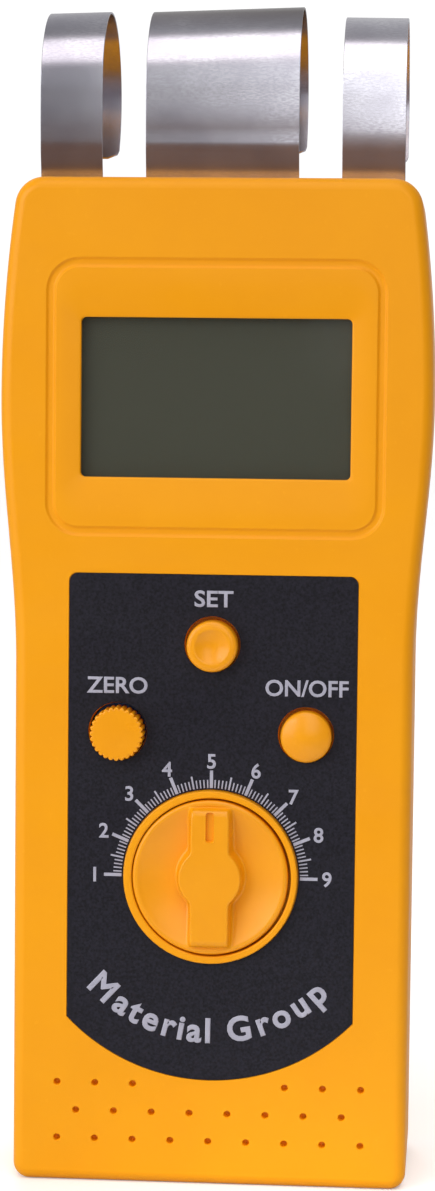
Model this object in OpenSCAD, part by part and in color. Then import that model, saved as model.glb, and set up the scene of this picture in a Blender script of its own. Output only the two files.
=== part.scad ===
// Handheld moisture meter with three hoop electrodes, opened up into its separate pieces.
// X runs to the right, Y from the front face to the back, Z up. The origin is the centre of the base.

/* [Case] */
// Height of the case without the electrodes
case_h = 140.4; // [138:0.1:143]
// Half width of the straight lower part of the case
grip_half_w = 27.65; // [27.4:0.05:28.4]
// Extra half width at the widest point, beside the display
flare = 2.23; // [1.6:0.01:2.6]
// Thickness of the whole case from front face to back face
case_t = 27; // [27:0.1:28]
// Wall thickness
wall = 2; // [1.8:0.05:2.1]
// Radius of the rounded front and back edges
edge_r = 1.7; // [1.2:0.1:1.7]
// Radius of the top corners
top_corner_r = 4.1; // [3.5:0.1:5]
// Radius of the bottom corners
base_corner_r = 2.3; // [2.2:0.1:3]

/* [Display] */
// Height of the middle of the display window
window_z = 110.2; // [109:0.1:111]
// Width of the display window
window_w = 37.3; // [36:0.1:38]
// Height of the display window
window_h = 22; // [21:0.1:23]
// Width of the moulded frame line around the window
frame_w = 45.6; // [44:0.1:46]
// Height of the moulded frame line around the window
frame_h = 37; // [35:0.1:38]

/* [Controls] */
// Height of the main dial's axis
dial_z = 43.8; // [43:0.1:44.5]
// Radius of the dial's disc
dial_r = 10.75; // [10.4:0.05:10.85]
// Outer radius of the collar around the dial
collar_r = 12.15; // [12:0.05:12.4]
// Distance of the two lower controls from the centre line
control_x = 13.1; // [12.5:0.1:13.5]
// Height of the two lower controls
control_z = 63.75; // [63:0.05:64.5]
// Height of the upper button
set_z = 76.1; // [75.5:0.1:77]
// Radius of the push buttons
button_r = 3.53; // [3.3:0.01:3.55]
// Radius of the knurled zero knob
zero_r = 3.75; // [3.5:0.05:3.8]
// How far a push button travels
button_travel = 0.8; // [0.4:0.1:0.8]

/* [Electrodes] */
// Thickness of the spring steel strip
strip_t = 0.3; // [0.25:0.05:0.4]
// Outer radius of the hoops
hoop_r = 11.8; // [11:0.1:11.8]
// Height of the top of the left hoop
left_top_z = 164.2; // [163:0.1:165]
// Height of the top of the centre hoop
centre_top_z = 164.9; // [163:0.1:165]
// Height of the top of the right hoop
right_top_z = 163.5; // [163:0.1:165]
// How far each hoop curls in past its rearmost point, in degrees
hoop_curl = 44; // [30:1:50]

/* [Hidden] */

$fn = 48;
cut = 1;                                    // how far a cutter runs past the face that it opens

yellow = "#f5a623";
front_y = -case_t / 2;
back_y = case_t / 2;
parting_y = 1;                              // plane where the two case halves meet
inner_front_y = front_y + wall;
cavity_corner_r = 2;
rear_wall = 1.8;
inner_back_y = back_y - rear_wall;

// The outline widens from the grip to the display and narrows again towards the top
flare_from_z = 73;
flare_to_z = 110;
crown = 0.00254;
function flare_share(z) = (1 - cos(180 * (z - flare_from_z) / (flare_to_z - flare_from_z))) / 2;
function half_w(z) =
    z <= flare_from_z ? grip_half_w :
    z < flare_to_z ? grip_half_w + flare * flare_share(z) :
    grip_half_w + flare - crown * pow(z - flare_to_z, 2);

top_lean = atan(2 * crown * (case_h - top_corner_r - flare_to_z));
shoulder_z = case_h - top_corner_r * (1 - sin(top_lean));
side_steps = 16;
corner_steps = 5;

// Right-hand side of the outline, from the base up, moved inwards by d, with base corners of radius r
function right_side(d, r) = concat(
    [for (i = [0 : corner_steps])
        let (a = -90 + 90 * i / corner_steps)
        [grip_half_w - d - r + r * cos(a), d + r + r * sin(a)]],
    [for (i = [0 : side_steps])
        let (z = flare_from_z + (shoulder_z - flare_from_z) * i / side_steps)
        [half_w(z) - d, z - d * sin(top_lean) * i / side_steps]],
    [for (i = [1 : corner_steps])
        let (a = top_lean + (90 - top_lean) * i / corner_steps)
        [half_w(shoulder_z) - top_corner_r * cos(top_lean) + (top_corner_r - d) * cos(a),
         case_h - top_corner_r + (top_corner_r - d) * sin(a)]]
);
function outline(d, r) =
    let (right = right_side(d, r), n = len(right))
    concat(right, [for (i = [n - 1 : -1 : 0]) [-right[i][0], right[i][1]]]);

edge_steps = 5;

// Solid half of the case from the parting plane out to a face; side is -1 for the front, 1 for the back.
// Nested prisms round its edge in small steps, so that every face stays flat.
module half_block(side) {
    reach = side * case_t / 2;
    for (i = [0 : edge_steps]) {
        a = 90 * i / edge_steps;
        y = reach - side * edge_r * (1 - cos(a));
        inset = edge_r * (1 - sin(a));
        along_y(min(y, parting_y), max(y, parting_y))
            polygon(outline(inset, base_corner_r - inset));
    }
}

// Extrudes a shape drawn in X and Z from y0 to y1
module along_y(y0, y1) {
    translate([0, y1, 0])
        rotate([90, 0, 0])
            linear_extrude(y1 - y0)
                children();
}

// Extrudes a shape drawn in Y and Z from x0 to x1
module along_x(x0, x1) {
    translate([x0, 0, 0])
        rotate(120, [1, 1, 1])
            linear_extrude(x1 - x0)
                children();
}

module y_rod(x, z, r, y0, y1) {
    translate([x, y1, z])
        rotate([90, 0, 0])
            cylinder(r = r, h = y1 - y0);
}

module box(x0, x1, y0, y1, z0, z1) {
    translate([x0, y0, z0])
        cube([x1 - x0, y1 - y0, z1 - z0]);
}

module rounded_rect(w, h, r) {
    square([w - 2 * r, h], center = true);
    square([w, h - 2 * r], center = true);
    for (x = [-1, 1], z = [-1, 1])
        translate([x * (w / 2 - r), z * (h / 2 - r)])
            circle(r);
}

// ---- Places shared by several pieces ----

collar_y = front_y - 0.9;                   // front of the dial's collar
collar_hole_r = 11.1;
well_y = inner_front_y - 0.1;               // floor of the well that the dial sits in
well_wall = 1;
overlay_t = 0.3;
overlay_y = front_y + 0.05;
recess_depth = 0.35;

overlay_half_w = 20;
overlay_top_z = 85.9;
overlay_arc_z = 42.7;
overlay_arc_r = 27.65;
overlay_corner_r = 1.2;

set_at = [0, set_z];
power_at = [control_x, control_z];
zero_at = [-control_x, control_z];
button_hole_r = 3.75;
zero_hole_r = 3.95;
control_y = front_y - 2.1;                  // how far forward the small controls stand

board_y = inner_front_y + 3.6;              // front of the circuit board
board_t = 1.6;
board_back_y = board_y + board_t;
board_half_w = 23.6;
board_z = [26, 130.5];
board_screw_at = [[-20.5, 31], [20.5, 31], [-21, 90], [21, 90]];

flange_r = 4.4;                             // flange that keeps each button from falling out
flange_y = [inner_front_y + 0.15, inner_front_y + 0.75];
stop_gap = 0.15;                            // what is left between flange and switch at full travel
switch_y = flange_y[1] + button_travel + stop_gap;
plunger_len = button_travel + 0.9;
pot_y = board_y - 2.6;                      // front of both potentiometers
plunger_r = 1.55;
dial_shaft_r = 3;
zero_shaft_r = 1.5;
fit = 0.05;                                 // radial running clearance

// Electrode strips, [left edge, right edge]
left_strip = [-24.9, -16.3];
centre_strip = [-10.3, 10.9];
right_strip = [16.8, 25.5];
root_y = -8.6;                              // middle of each strip where it leaves its terminal
root_z = [136.4, 139.2];
slot_y = [-9.45, -8.2];                     // opening in the case top around each strip
bend_z = 145.2;                             // where the strip stops leaning forward
hoop_mid_y = -10.2 + hoop_r;
terminal_y = root_y + strip_t / 2 + 0.15;
terminal_t = 0.8;
terminal_z = [131, 137.6];
carrier_z = [board_z[1] + 0.8, 137.3];
terminal_screw_at = [for (x = [-20.6, -5, 5.6, 21.15]) [x, 133.6]];

case_screw_at = [
    [-22.4, 7.5], [22.4, 7.5],
    [(left_strip[1] + centre_strip[0]) / 2, 134.6],
    [(centre_strip[1] + right_strip[0]) / 2, 134.6]];
boss_r = 2.5;
screw_r = 1.1;
screw_tip_y = -5.4;
screw_head_y = 8.4;

battery_half_w = 13.25;
battery_y = [board_back_y + 0.35, board_back_y + 17.85];
battery_z = [3.9, 50.3];
pole_x = 6.35;
bay_half_w = 14.15;
door_z = 57;
door_t = 1.6;
tongue = 0.9;                               // width of the door's side tongues
tongue_t = 0.7;
groove_gap = 0.15;

label_z = 95;
label_size = [35.6, 29.6];
label_corner_r = 1.3;
label_recess = 0.3;

// ---- Case ----

module overlay_outline(grow) {
    h = overlay_top_z - overlay_arc_z;
    translate([0, overlay_arc_z + h / 2])
        rounded_rect(2 * (overlay_half_w + grow), h + 2 * grow, overlay_corner_r);
    translate([-overlay_half_w - grow, overlay_arc_z - 1])
        square([2 * (overlay_half_w + grow), h / 2]);
    intersection() {
        translate([0, overlay_arc_z])
            circle(overlay_arc_r + grow, $fn = 96);
        translate([-overlay_half_w - grow, overlay_arc_z - overlay_arc_r - 1])
            square([2 * (overlay_half_w + grow), overlay_arc_r + 1]);
    }
}

dimple_pitch = 5.33;
dimple_r = 0.5;
dimple_depth = 0.6;
// Each row is [height, columns counted from the centre line]
dimple_rows = [
    [6.27, [for (i = [-4 : 4]) i]],
    [10.24, [for (i = [-3.5 : 3.5]) i]],
    [14.21, [-4, -3, -2, 2, 3, 4]]];

module dimples() {
    for (row = dimple_rows)
        for (i = row[1])
            y_rod(i * dimple_pitch, row[0], dimple_r, front_y - cut, front_y + dimple_depth);
}

module display_groove() {
    groove_w = 1.2;
    groove_depth = 0.45;
    along_y(front_y - cut, front_y + groove_depth)
        translate([0, window_z])
            difference() {
                rounded_rect(frame_w + groove_w, frame_h + groove_w, 3.9 + groove_w / 2);
                rounded_rect(frame_w - groove_w, frame_h - groove_w, 3.9 - groove_w / 2);
            }
}

module display_opening() {
    along_y(front_y - cut, inner_front_y + cut)
        translate([0, window_z])
            rounded_rect(window_w, window_h, 0.7);
    along_y(front_y + 1.2, inner_front_y + cut)
        translate([0, window_z])
            square([window_w + 3.2, window_h + 3.2], center = true);
}

module front_bosses() {
    rib_x = 8;
    for (p = case_screw_at)
        y_rod(p[0], p[1], boss_r, inner_front_y - 0.5, parting_y);
    for (p = board_screw_at)
        y_rod(p[0], p[1], 2.2, inner_front_y - 0.5, board_y);
    for (x = [-rib_x, rib_x])
        box(x - 0.6, x + 0.6, inner_front_y - 0.5, battery_y[0] - 0.3, wall - 0.5, board_z[0] - 2);
}

module electrode_slots() {
    side_gap = 0.35;
    for (s = [left_strip, centre_strip, right_strip])
        box(s[0] - side_gap, s[1] + side_gap, slot_y[0], slot_y[1], case_h - 2 * wall, case_h + cut);
}

module front_case() color(yellow) {
    difference() {
        union() {
            difference() {
                half_block(-1);
                along_y(inner_front_y, parting_y + cut)
                    polygon(outline(wall, cavity_corner_r));
            }
            front_bosses();
            y_rod(0, dial_z, collar_r, collar_y, front_y + 0.5);
            y_rod(0, dial_z, collar_hole_r + 0.8, front_y + 0.5, well_y + well_wall);
        }
        along_y(front_y - cut, front_y + recess_depth)
            difference() {
                overlay_outline(0.08);
                translate([0, dial_z])
                    circle(collar_r);
            }
        y_rod(0, dial_z, collar_hole_r, collar_y - cut, well_y);
        y_rod(0, dial_z, dial_shaft_r + 0.3, well_y - cut, inner_front_y + 2 * cut);
        for (p = [set_at, power_at])
            y_rod(p[0], p[1], button_hole_r, front_y - cut, inner_front_y + cut);
        y_rod(zero_at[0], zero_at[1], zero_hole_r, front_y - cut, inner_front_y + cut);
        display_groove();
        display_opening();
        dimples();
        electrode_slots();
        for (p = case_screw_at)
            y_rod(p[0], p[1], screw_r + fit, screw_tip_y - 0.6, parting_y + cut);
        for (p = board_screw_at)
            y_rod(p[0], p[1], 1, board_y - 3, board_y + cut);
    }
}

module rear_bosses() {
    bay_top_t = 1.5;
    for (p = case_screw_at)
        y_rod(p[0], p[1], boss_r + 0.3, parting_y, inner_back_y + 0.5);
    for (side = [-1, 1]) {
        translate([side * (bay_half_w + 1.15), 0, 0])
            box(-1, 1, parting_y, inner_back_y + 0.5, wall - 0.5, door_z + bay_top_t);
        translate([side * (bay_half_w - 3), 0, 0])
            box(-3.3, 3.3, parting_y, inner_back_y + 0.5, door_z + 0.2, door_z + bay_top_t);
    }
}

// Space that the battery door slides through; gap 0 gives the door's own section
module door_section(gap) {
    translate([-bay_half_w + groove_gap - gap, inner_back_y + 0.2 - gap])
        square([2 * (bay_half_w - groove_gap + gap), door_t + cut]);
    translate([-bay_half_w + groove_gap - tongue - gap, inner_back_y + 0.2 - gap])
        square([2 * (bay_half_w - groove_gap + tongue + gap), tongue_t + 2 * gap]);
}

module rear_case() color(yellow) {
    difference() {
        union() {
            difference() {
                half_block(1);
                along_y(parting_y - cut, inner_back_y)
                    polygon(outline(wall, cavity_corner_r));
            }
            rear_bosses();
        }
        translate([0, 0, -cut])
            linear_extrude(door_z + groove_gap + cut)
                door_section(groove_gap);
        box(-bay_half_w, bay_half_w, inner_back_y - 3, back_y + cut, wall, door_z - 2);
        for (p = case_screw_at) {
            y_rod(p[0], p[1], 1.35, parting_y - cut, back_y + cut);
            y_rod(p[0], p[1], 2.5, screw_head_y, back_y + cut);
        }
        along_y(back_y - label_recess, back_y + cut)
            translate([0, label_z])
                rounded_rect(label_size[0] + 0.4, label_size[1] + 0.4, label_corner_r + 0.2);
    }
}

module battery_door() color(yellow) {
    grip_grooves = 5;
    grip_half_len = 7;
    grip_z = 44;
    difference() {
        intersection() {
            linear_extrude(door_z)
                door_section(0);
            half_block(1);
        }
        for (i = [0 : grip_grooves - 1])
            translate([0, 0, grip_z + 2 * i])
                box(-grip_half_len, grip_half_len, back_y - 0.4, back_y + cut, 0, 1);
    }
}

module case_screws() color("silver") {
    for (p = case_screw_at)
        difference() {
            union() {
                y_rod(p[0], p[1], screw_r, screw_tip_y, screw_head_y);
                y_rod(p[0], p[1], 2.2, screw_head_y, screw_head_y + 1.6);
            }
            for (turn = [0, 90])
                translate([p[0], screw_head_y + 1.2, p[1]])
                    rotate([0, turn, 0])
                        box(-1.3, 1.3, 0, 1, -0.25, 0.25);
        }
}

module rear_label() color("silver") {
    along_y(back_y - label_recess + 0.02, back_y - label_recess + 0.22)
        translate([0, label_z])
            rounded_rect(label_size[0], label_size[1], label_corner_r);
}

module control_overlay() color("#2b2b38") {
    along_y(overlay_y, overlay_y + overlay_t)
        difference() {
            overlay_outline(0);
            translate([0, dial_z])
                circle(collar_r + 0.1);
            for (p = [set_at, power_at])
                translate(p)
                    circle(button_hole_r);
            translate(zero_at)
                circle(zero_hole_r);
        }
}

// ---- Display ----

lcd_size = [42, 26.8];
lcd_y = [inner_front_y + 0.3, inner_front_y + 2.3];

module display_window() color("#8a9086", 0.5) {
    along_y(front_y + 1.25, front_y + 2.05)
        translate([0, window_z])
            square([window_w + 2.8, window_h + 2.8], center = true);
}

module lcd_glass() color("#4a4a3e") {
    ledge = 2.2;
    difference() {
        along_y(lcd_y[0], lcd_y[1])
            translate([0, window_z])
                square(lcd_size, center = true);
        box(-lcd_size[0], lcd_size[0], (lcd_y[0] + lcd_y[1]) / 2, lcd_y[1] + cut,
            window_z - lcd_size[1] / 2 - cut, window_z - lcd_size[1] / 2 + ledge);
    }
}

module lcd_reflector() color("#c9c9c0") {
    film_t = 0.2;
    film_size = [38, 20];
    along_y(lcd_y[1], lcd_y[1] + film_t)
        translate([0, window_z + 1.2])
            square(film_size, center = true);
}

module lcd_frame() color("#e8e6df") {
    difference() {
        along_y(inner_front_y + 0.1, board_y)
            translate([0, window_z])
                square([lcd_size[0] + 3.4, lcd_size[1] + 3.4], center = true);
        along_y(inner_front_y, board_y + cut)
            translate([0, window_z])
                square([lcd_size[0] + 0.2, lcd_size[1] + 0.2], center = true);
    }
}

module lcd_contacts() color("#3a3a3a") {
    for (side = [-1, 1])
        translate([0, 0, window_z + side * (lcd_size[1] / 2 - 1)])
            box(-20, 20, side < 0 ? (lcd_y[0] + lcd_y[1]) / 2 : lcd_y[1], board_y, -0.8, 0.8);
}

// ---- Rotary controls ----

dial_back_y = well_y - 0.15;
dial_rim_y = collar_y - 0.05;
dish_y = front_y + 1;
bar_y = front_y - 2.1;
shaft_tip_y = front_y + 0.2;

module shaft_section(r) {
    difference() {
        circle(r);
        translate([-r, r * 0.55])
            square([2 * r, r]);
    }
}

module dial_knob() color(yellow) {
    difference() {
        union() {
            translate([0, 0, dial_z])
                rotate([90, 0, 0])
                    rotate_extrude()
                        polygon([
                            [0, -dial_back_y], [dial_r, -dial_back_y],
                            [dial_r, -dial_rim_y - 0.4], [dial_r - 0.4, -dial_rim_y],
                            [dial_r - 0.8, -dial_rim_y], [dial_r - 1.6, -dish_y + 0.5],
                            [dial_r - 3.5, -dish_y], [0, -dish_y]]);
            along_y(bar_y, dish_y + 0.2)
                translate([0, dial_z]) {
                    square([5.45, 19.2], center = true);
                    circle(4.4);
                }
        }
        box(-0.5, 0.5, bar_y - cut, bar_y + 0.6, dial_z + 5.2, dial_z + 9.1);
        along_y(shaft_tip_y - 0.2, dial_back_y + cut)
            translate([0, dial_z])
                shaft_section(dial_shaft_r + fit);
    }
}

module dial_shaft() color("silver") {
    along_y(shaft_tip_y, pot_y - 0.6)
        translate([0, dial_z])
            shaft_section(dial_shaft_r);
    y_rod(0, dial_z, dial_shaft_r, pot_y - 0.6, board_y - 0.3);
}

module pot_body(at, r, shaft_r) {
    difference() {
        y_rod(at[0], at[1], r, pot_y, board_y);
        y_rod(at[0], at[1], shaft_r + fit, pot_y - cut, board_y - 0.2);
    }
}

module dial_pot() color("#5b7fa6") {
    pot_body([0, dial_z], 8, dial_shaft_r);
}

module zero_knob() color(yellow) {
    knurls = 28;
    points_per_knurl = 6;
    knurl_depth = 0.12;
    n = knurls * points_per_knurl;
    difference() {
        along_y(control_y, inner_front_y - 0.1)
            translate(zero_at)
                polygon([for (i = [0 : n - 1])
                    let (a = 360 * i / n, r = zero_r - knurl_depth * (1 + cos(knurls * a)) / 2)
                    [r * cos(a), r * sin(a)]]);
        along_y(front_y, inner_front_y + cut)
            translate(zero_at)
                shaft_section(zero_shaft_r + fit);
    }
}

module zero_shaft() color("silver") {
    along_y(front_y + 0.2, pot_y - 0.4)
        translate(zero_at)
            shaft_section(zero_shaft_r);
    y_rod(zero_at[0], zero_at[1], zero_shaft_r, pot_y - 0.4, board_y - 0.3);
}

module zero_pot() color("#5b7fa6") {
    pot_body(zero_at, 4, zero_shaft_r);
}

// ---- Push buttons ----

module button_blank(at) {
    y_rod(at[0], at[1], button_r, control_y, flange_y[1]);
    y_rod(at[0], at[1], flange_r, flange_y[0], flange_y[1]);
}

module set_button() color(yellow) {
    dish_r = 9;
    dish_depth = 0.45;
    difference() {
        button_blank(set_at);
        translate([set_at[0], control_y - dish_r + dish_depth, set_at[1]])
            sphere(dish_r, $fn = 64);
    }
}

module power_button() color(yellow) {
    dome_r = 11;
    intersection() {
        button_blank(power_at);
        translate([power_at[0], control_y + dome_r, power_at[1]])
            sphere(dome_r, $fn = 64);
    }
}

module plunger(at) color("#303030") {
    y_rod(at[0], at[1], plunger_r, flange_y[1], flange_y[1] + plunger_len);
}

module key_switch(at) color("#404044") {
    half = 3.1;
    difference() {
        box(at[0] - half, at[0] + half, switch_y, board_y, at[1] - half, at[1] + half);
        y_rod(at[0], at[1], plunger_r + fit, switch_y - cut, board_y - 0.15);
    }
}

module set_plunger() plunger(set_at);
module set_switch() key_switch(set_at);
module power_plunger() plunger(power_at);
module power_switch() key_switch(power_at);

// ---- Circuit board ----

module main_board() color("#1f6b3a") {
    difference() {
        box(-board_half_w, board_half_w, board_y, board_back_y, board_z[0], board_z[1]);
        for (p = board_screw_at)
            y_rod(p[0], p[1], 1.1, board_y - cut, board_back_y + cut);
    }
}

module meter_chip() color("#1c1c1e") {
    half = 6;
    pins = 10;
    pitch = 1;
    chip_z = 106;
    translate([0, board_back_y, chip_z]) {
        box(-half, half, 0.1, 1.7, -half, half);
        for (turn = [0 : 90 : 270], i = [0 : pins - 1])
            rotate([0, turn, 0])
                translate([(i - (pins - 1) / 2) * pitch, 0, 0])
                    box(-0.2, 0.2, 0, 0.5, half - 0.1, half + 1.2);
    }
}

module crystal() color("silver") {
    crystal_at = [14, 92];
    half_len = 3.2;
    r = 2.2;
    along_y(board_back_y, board_back_y + 3.4)
        translate(crystal_at) {
            square([2 * half_len, 2 * r], center = true);
            for (x = [-half_len, half_len])
                translate([x, 0])
                    circle(r);
        }
}

module oscillator_coil() color("silver") {
    coil_at = [-13, 119];
    half = 5;
    can_h = 9;
    core_depth = 3;
    translate([coil_at[0], board_back_y, coil_at[1]])
        difference() {
            box(-half, half, 0, can_h, -half, half);
            y_rod(0, 0, 2.2, can_h - core_depth, can_h + cut);
        }
}

capacitor_at = [[10, 120], [17, 120], [17, 101]];

module capacitors() color("#2a3550") {
    for (p = capacitor_at) {
        y_rod(p[0], p[1], 2.5, board_back_y + 1.2, board_back_y + 8);
        y_rod(p[0], p[1], 2.2, board_back_y, board_back_y + 1.2);
    }
}

module resistors() color("#26262a") {
    count = 8;
    pitch = 3.4;
    row_z = 84;
    for (i = [0 : count - 1])
        translate([-18 + i * pitch, board_back_y, row_z])
            cube([1.4, 0.6, 2.2]);
}

module board_screws() color("silver") {
    for (p = board_screw_at) {
        y_rod(p[0], p[1], 0.95, board_y - 2.8, board_back_y);
        y_rod(p[0], p[1], 1.8, board_back_y, board_back_y + 1.2);
    }
}

// ---- Electrodes ----

// One steel strip: short root, forward lean, straight front and a hoop that curls in at the back
module electrode(strip, top_z) color("#b9bcc0") {
    hoop_z = top_z - hoop_r;
    half_t = strip_t / 2;
    front_mid_y = hoop_mid_y - hoop_r + half_t;
    reach = 2 * hoop_r;
    along_x(strip[0], strip[1]) {
        polygon([
            [root_y - half_t, root_z[0]], [root_y + half_t, root_z[0]], [root_y + half_t, root_z[1]],
            [front_mid_y + half_t, bend_z], [front_mid_y + half_t, hoop_z],
            [front_mid_y - half_t, hoop_z], [front_mid_y - half_t, bend_z], [root_y - half_t, root_z[1]]]);
        translate([hoop_mid_y, hoop_z])
            difference() {
                circle(hoop_r, $fn = 96);
                circle(hoop_r - strip_t, $fn = 96);
                polygon(concat(
                    [[0, 0]],
                    [for (a = [180, 225, 270, 360 - hoop_curl]) reach * [cos(a), sin(a)]]));
            }
    }
}

module left_electrode() electrode(left_strip, left_top_z);
module centre_electrode() electrode(centre_strip, centre_top_z);
module right_electrode() electrode(right_strip, right_top_z);

module terminal(strip) color("#c9a44c") {
    mid = (strip[0] + strip[1]) / 2;
    prong_len = 1.5;
    difference() {
        union() {
            box(strip[0] + 1, strip[1] - 1, terminal_y, terminal_y + terminal_t,
                terminal_z[0], terminal_z[1]);
            box(mid - 1, mid + 1, terminal_y, board_y, board_z[1] - prong_len, carrier_z[0] - 0.1);
        }
        for (p = terminal_screw_at)
            y_rod(p[0], p[1], 1.1, terminal_y - cut, terminal_y + terminal_t + cut);
    }
}

module left_terminal() terminal(left_strip);
module centre_terminal() terminal(centre_strip);
module right_terminal() terminal(right_strip);

module terminal_screws() color("silver") {
    for (p = terminal_screw_at) {
        y_rod(p[0], p[1], 0.95, terminal_y, terminal_y + 3.2);
        y_rod(p[0], p[1], 1.7, terminal_y - 0.8, terminal_y);
    }
}

module electrode_carrier() color("#222224") {
    carrier_y = terminal_y + terminal_t;
    carrier_half_w = 25;
    carrier_t = 3.2;
    difference() {
        box(-carrier_half_w, carrier_half_w, carrier_y, carrier_y + carrier_t, carrier_z[0], carrier_z[1]);
        for (p = terminal_screw_at)
            y_rod(p[0], p[1], 1, carrier_y - cut, carrier_y + 2.6);
        for (p = [case_screw_at[2], case_screw_at[3]])
            y_rod(p[0], p[1], boss_r + 0.1, carrier_y - cut, carrier_y + carrier_t + cut);
    }
}

// ---- Battery ----

pole_z = battery_z[1] + 2.2;
male_pole_r = 2.9;
female_pole_r = 4;
snap_z = [battery_z[1] + 0.6, battery_z[1] + 4.2];
battery_mid_y = (battery_y[0] + battery_y[1]) / 2;

module battery() color("#8c8f94") {
    corner = 1.5;
    translate([0, battery_mid_y, battery_z[0]])
        linear_extrude(battery_z[1] - battery_z[0])
            rounded_rect(2 * battery_half_w, battery_y[1] - battery_y[0], corner);
}

module battery_poles() color("silver") {
    translate([pole_x, battery_mid_y, battery_z[1]])
        cylinder(r = male_pole_r, h = pole_z - battery_z[1]);
    translate([-pole_x, battery_mid_y, battery_z[1]])
        difference() {
            cylinder(r = female_pole_r, h = pole_z - battery_z[1]);
            translate([0, 0, 0.4])
                cylinder(r = 3, h = 3);
        }
}

module battery_snap() color("#1b1b1d") {
    difference() {
        translate([0, battery_mid_y, snap_z[0]])
            linear_extrude(snap_z[1] - snap_z[0])
                rounded_rect(25, 12.4, 2);
        for (pole = [[pole_x, male_pole_r + 0.2], [-pole_x, female_pole_r + 0.2]])
            translate([pole[0], battery_mid_y, snap_z[0] - cut])
                cylinder(r = pole[1], h = pole_z - snap_z[0] + 0.1 + cut);
    }
}

lead_r = 0.65;
lead_bend = 9;

// Lead from the top of the snap, up and round to the back of the board
module lead(x) {
    bend_z = snap_z[1] + 6;
    translate([x, battery_mid_y, snap_z[1]])
        cylinder(r = lead_r, h = bend_z - snap_z[1]);
    translate([x, battery_mid_y - lead_bend, bend_z])
        rotate(120, [1, 1, 1])
            rotate_extrude(angle = 90)
                translate([lead_bend, 0])
                    circle(lead_r);
    y_rod(x, bend_z + lead_bend, lead_r, board_back_y, battery_mid_y - lead_bend);
}

module positive_lead() color("#b3261e") lead(3.5);
module negative_lead() color("#18181a") lead(-3.5);

module battery_pad() color("#3c3c3e") {
    box(-11, 11, battery_mid_y - 6.5, battery_mid_y + 6.5, wall, battery_z[0]);
}

// ---- Output ----

front_case();
rear_case();
battery_door();
case_screws();
rear_label();
control_overlay();
display_window();
lcd_glass();
lcd_frame();
lcd_reflector();
lcd_contacts();
dial_knob();
dial_shaft();
dial_pot();
zero_knob();
zero_shaft();
zero_pot();
set_button();
set_plunger();
set_switch();
power_button();
power_plunger();
power_switch();
main_board();
meter_chip();
crystal();
oscillator_coil();
capacitors();
resistors();
board_screws();
left_electrode();
centre_electrode();
right_electrode();
left_terminal();
centre_terminal();
right_terminal();
terminal_screws();
electrode_carrier();
battery();
battery_poles();
battery_snap();
positive_lead();
negative_lead();
battery_pad();
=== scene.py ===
import math

import bmesh
import bpy
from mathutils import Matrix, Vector


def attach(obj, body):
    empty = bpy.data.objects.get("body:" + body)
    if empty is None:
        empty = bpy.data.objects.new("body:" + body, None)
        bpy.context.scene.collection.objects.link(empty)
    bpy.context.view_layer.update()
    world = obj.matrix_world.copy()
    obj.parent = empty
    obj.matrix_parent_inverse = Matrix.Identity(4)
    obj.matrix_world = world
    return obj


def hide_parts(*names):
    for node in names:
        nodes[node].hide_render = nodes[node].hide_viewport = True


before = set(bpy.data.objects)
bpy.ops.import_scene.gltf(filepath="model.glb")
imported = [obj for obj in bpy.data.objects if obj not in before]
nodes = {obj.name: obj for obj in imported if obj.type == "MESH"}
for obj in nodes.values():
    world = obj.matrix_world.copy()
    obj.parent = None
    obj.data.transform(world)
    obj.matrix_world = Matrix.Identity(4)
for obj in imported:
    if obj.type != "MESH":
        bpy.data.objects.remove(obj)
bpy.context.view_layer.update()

# Every length below is in millimetres, in the frame's own axes: X right, Y from front to back, Z up.
MM = 0.001

# ---- Sizes of the case ----

FRONT_Y, BACK_Y, PARTING_Y = -13.5, 13.5, 1.0
INNER_FRONT_Y, INNER_BACK_Y = -11.5, 11.7
CASE_H = 140.4
GRIP_HALF_W = 27.65
FLARE = 2.23
FLARE_FROM_Z, FLARE_TO_Z = 73.0, 110.0
CROWN = 0.00254
TOP_CORNER_R, BASE_CORNER_R, EDGE_R = 4.1, 2.3, 1.7
WALL = 2.0
WINDOW_Z, WINDOW_W, WINDOW_H = 110.2, 37.3, 22.0
FRAME_W, FRAME_H, FRAME_R = 45.6, 37.0, 3.9
DIAL_Z = 43.8
COLLAR_R, COLLAR_HOLE_R, COLLAR_Y = 12.15, 11.1, -14.4
WELL_X, WELL_Y = 0.14, -11.6
CONTROL_Y = -15.6
SET_AT, POWER_AT, ZERO_AT = (0.0, 76.1), (13.1, 63.75), (-13.1, 63.75)
BUTTON_R, BUTTON_HOLE_R = 3.53, 3.75
ZERO_R, ZERO_HOLE_R = 3.75, 3.95
FLANGE_R, FLANGE_Y = 4.4, (-11.35, -10.75)
OVERLAY_Y = (-13.45, -13.15)
BAY_HALF_W, DOOR_Z = 14.15, 57.0
CASE_SCREWS = [(-22.4, 7.5), (22.4, 7.5), (-13.3, 134.6), (13.85, 134.6)]
BOARD_SCREWS = [(-20.5, 31), (20.5, 31), (-21, 90), (21, 90)]
BOARD_Y = -7.9
CASE_BOSS_R, CASE_PILOT_R, CASE_PILOT_Y = 2.5, 1.15, -6.0
BOARD_BOSS_R, BOARD_PILOT_R = 2.2, 1.0
REAR_BOSS_R, SCREW_HOLE_R, HEAD_HOLE_R, HEAD_Y = 2.8, 1.35, 2.5, 8.4
SLOT_GAP, SLOT_Y = 0.35, (-9.45, -8.2)
LABEL_W, LABEL_H, LABEL_Z = 36.0, 30.0, 95.0
INK_Y = (OVERLAY_Y[0] - 0.03, OVERLAY_Y[0] + 0.02)
CAP_Z = (0.0, 0.70)  # foot and top of the built-in typeface's capitals, at a text size of 1
HOOPS = {  # body: left edge, right edge, height of the top at the left edge and at the right edge
    "left_hoop": (-24.9, -16.3, 163.95, 164.2),
    "centre_hoop": (-10.3, 10.9, 164.2, 164.9),
    "right_hoop": (16.8, 25.5, 163.5, 163.4),
}

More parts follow.
